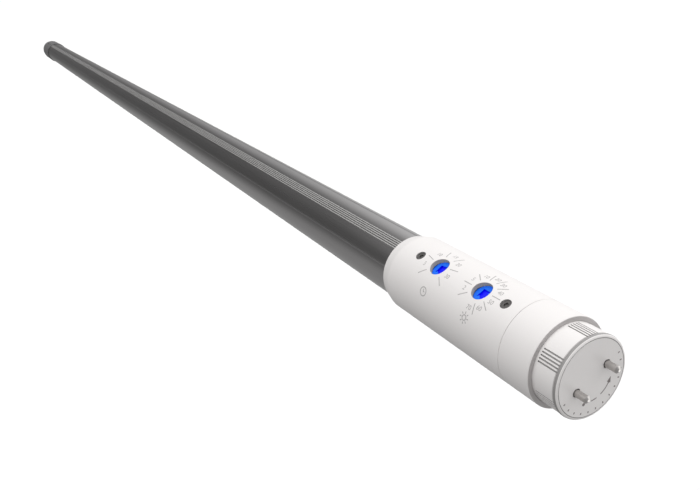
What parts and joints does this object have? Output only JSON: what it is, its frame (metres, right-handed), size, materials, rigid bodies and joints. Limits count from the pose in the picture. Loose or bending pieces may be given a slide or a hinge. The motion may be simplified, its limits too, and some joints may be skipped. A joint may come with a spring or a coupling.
{
  "type": "led light tube",
  "caption": "Straight LED light tube with bi-pin ends that turn, a dark aluminium back, an opal light cover and a white control head with two blue rotary trimmers.",
  "frame": {"origin": "centre of the control end cap's face, midway between its two pins", "axes": "+X along the tube and out of the control end, +Z the side the dials face, +Y along the line of the pins at rest"},
  "size_m": [1.2086, 0.0306, 0.0304],
  "materials": {
    "anodised_aluminium": "dark grey anodised, satin, extruded",
    "diffuser_plastic": "opal satin",
    "white_plastic": "fine satin moulding",
    "dark_plastic": "satin moulding",
    "blue_plastic": "gloss moulding",
    "pin_metal": "nickel plated, satin",
    "screw_steel": "zinc plated, dull",
    "clear_plastic": "clear moulded",
    "light_chips": "phosphor gel",
    "white_board": "white solder mask",
    "green_board": "green solder mask",
    "pale_plastic": "natural moulding",
    "black_parts": "moulded epoxy",
    "shield_metal": "tinned shield",
    "capacitor_sleeve": "shrunk sleeve",
    "ferrite": "sintered",
    "copper": "enamelled winding",
    "yellow_film": "moulded case",
    "fuse_body": "ceramic sleeve",
    "wire_jacket": "silicone insulation"
  },
  "bodies": {
    "tube": {"heat_sink": "anodised_aluminium", "diffuser": "diffuser_plastic", "thermal_tape": "white_board", "led_board": "white_board", "led_chips": "light_chips", "head_housing": "white_plastic", "head_collar": "white_plastic", "head_screws": "screw_steel", "hold_time_trimmer": "pale_plastic", "daylight_trimmer": "pale_plastic", "control_board": "green_board", "controller_chip": "black_parts", "board_header": "black_parts", "sensor_board": "green_board", "motion_sensor": "shield_metal", "light_sensor": "black_parts", "light_lens": "clear_plastic", "driver_tray": "pale_plastic", "driver_board": "green_board", "bulk_capacitor": "capacitor_sleeve", "output_capacitor": "capacitor_sleeve", "transformer_core": "ferrite", "transformer_winding": "copper", "line_choke": "copper", "film_capacitor": "yellow_film", "bridge_rectifier": "black_parts", "line_fuse": "fuse_body", "driver_chip": "black_parts", "lead_terminals": "pale_plastic", "mains_leads": "wire_jacket", "signal_leads": "wire_jacket", "far_housing": "dark_plastic", "far_screws": "screw_steel"},
    "near_cap": {"near_cap": "white_plastic", "near_pins": "pin_metal", "near_clip": "screw_steel"},
    "far_cap": {"far_cap": "dark_plastic", "far_pins": "pin_metal", "far_pin_link": "copper", "far_clip": "screw_steel"},
    "hold_time_dial": {"hold_time_dial": "blue_plastic"},
    "daylight_dial": {"daylight_dial": "blue_plastic"}
  },
  "joints": [
    {"name": "near_cap_turn", "type": "hinge", "parent": "tube", "child": "near_cap", "pos_m": [-0.012, 0, 0], "axis": [1, 0, 0], "range_deg": [-90, 90]},
    {"name": "far_cap_turn", "type": "hinge", "parent": "tube", "child": "far_cap", "pos_m": [-1.1874, 0, 0], "axis": [1, 0, 0], "range_deg": [-90, 90]},
    {"name": "hold_time_turn", "type": "hinge", "parent": "tube", "child": "hold_time_dial", "pos_m": [-0.0652, 0, 0.0125], "axis": [0, 0, 1], "range_deg": [-185, 85]},
    {"name": "daylight_turn", "type": "hinge", "parent": "tube", "child": "daylight_dial", "pos_m": [-0.0416, 0, 0.0125], "axis": [0, 0, 1], "range_deg": [-180, 90]}
  ]
}
